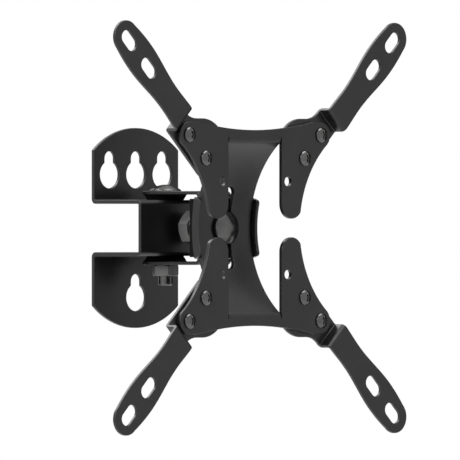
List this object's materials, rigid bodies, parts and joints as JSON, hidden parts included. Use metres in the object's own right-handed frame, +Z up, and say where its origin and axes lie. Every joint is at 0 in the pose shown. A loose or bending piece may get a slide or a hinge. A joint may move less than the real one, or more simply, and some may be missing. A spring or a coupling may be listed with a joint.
{
  "type": "full motion tv wall mount",
  "caption": "Compact steel television wall mount that swivels, rolls and tilts, with a slotted square plate and screwed-on diagonal adapter arms.",
  "frame": {"origin": "on the wall face, at the height of the swivel bracket's middle and the middle of the width", "axes": "+X to the right and +Z up as seen from in front of the mount; the television is on the -Y side, the wall on the +Y side"},
  "size_m": [0.2216, 0.0979, 0.2216],
  "materials": {
    "black_steel": "satin powder coat",
    "dark_fastener": "semi-gloss black finish",
    "black_plastic": "matte"
  },
  "bodies": {
    "wall": {"wall_bracket": "black_steel"},
    "swivel": {"swivel_bracket": "black_steel", "swivel_bolt": "dark_fastener", "swivel_nut": "dark_fastener", "swivel_washer_upper": "black_plastic", "swivel_washer_lower": "black_plastic"},
    "roll": {"tilt_saddle": "black_steel", "friction_pad": "black_plastic", "roll_bolt": "dark_fastener", "head_washer": "black_plastic", "roll_bush": "black_plastic", "roll_flat_washer": "dark_fastener", "roll_nut": "dark_fastener"},
    "tv": {"tv_plate": "black_steel", "arm_top_right": "black_steel", "arm_top_left": "black_steel", "arm_bottom_right": "black_steel", "arm_bottom_left": "black_steel", "plate_screws": "dark_fastener", "plate_nuts": "dark_fastener"}
  },
  "joints": [
    {"name": "swivel", "type": "hinge", "parent": "wall", "child": "swivel", "pos_m": [0, -0.0243, 0], "axis": [0, 0, 1], "range_deg": [-20, 20]},
    {"name": "roll", "type": "hinge", "parent": "swivel", "child": "roll", "pos_m": [0, -0.0627, 0], "axis": [0, 1, 0], "range_deg": [-90, 90]},
    {"name": "tilt", "type": "hinge", "parent": "roll", "child": "tv", "pos_m": [0, -0.1271, 0], "axis": [1, 0, 0], "range_deg": [-15, 15]}
  ]
}
